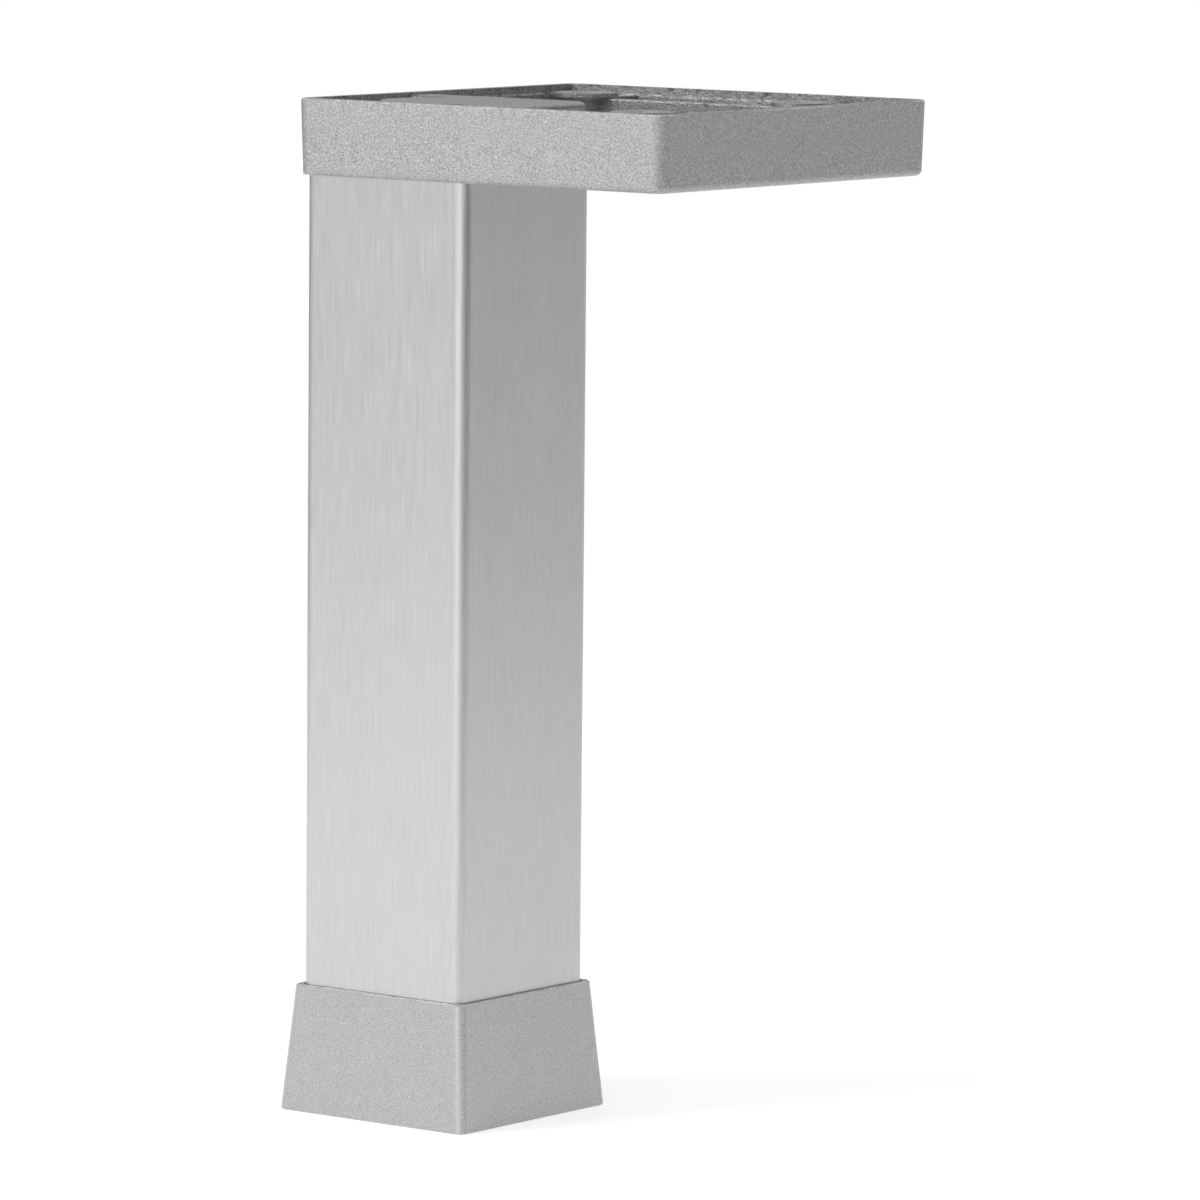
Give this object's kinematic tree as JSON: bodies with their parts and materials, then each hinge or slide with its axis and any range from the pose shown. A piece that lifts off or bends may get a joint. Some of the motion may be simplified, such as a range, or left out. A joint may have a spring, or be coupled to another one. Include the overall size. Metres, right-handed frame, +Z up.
{
  "type": "adjustable furniture leg",
  "caption": "Square tube furniture leg with an offset tray-shaped mounting plate on top and a flared foot that winds down to level the furniture.",
  "frame": {"origin": "on the tube's axis, at the underside of the foot with the foot wound right up", "axes": "+Z up along the tube; the mounting plate reaches out towards +X and +Y from the tube"},
  "size_m": [0.0918, 0.0898, 0.2],
  "materials": {
    "plate_paint": "silver paint over a rough casting",
    "foot_paint": "silver paint over a fine casting",
    "tube_aluminium": "brushed lengthways and anodised",
    "steel": "zinc plated",
    "plug_plastic": "moulded"
  },
  "bodies": {
    "leg": {"mounting_plate": "plate_paint", "leg_tube": "tube_aluminium", "threaded_rod": "steel", "tube_plug": "plug_plastic", "plug_washer": "steel", "plug_nut": "steel"},
    "foot": {"foot": "foot_paint"},
    "adjuster": {"adjuster_bush": "steel", "retaining_ring": "steel"}
  },
  "joints": [
    {"name": "foot_slide", "type": "slide", "parent": "leg", "child": "foot", "axis": [0, 0, -1], "range_m": [0, 0.012]},
    {"name": "adjuster_turn", "type": "hinge", "parent": "foot", "child": "adjuster", "pos_m": [0, 0, 0.002], "axis": [0, 0, -1], "range_deg": [0, 3457]}
  ],
  "couplings": [
    {"joint": "adjuster_turn", "follows": "foot_slide", "rad_per_m": 5026.5}
  ]
}
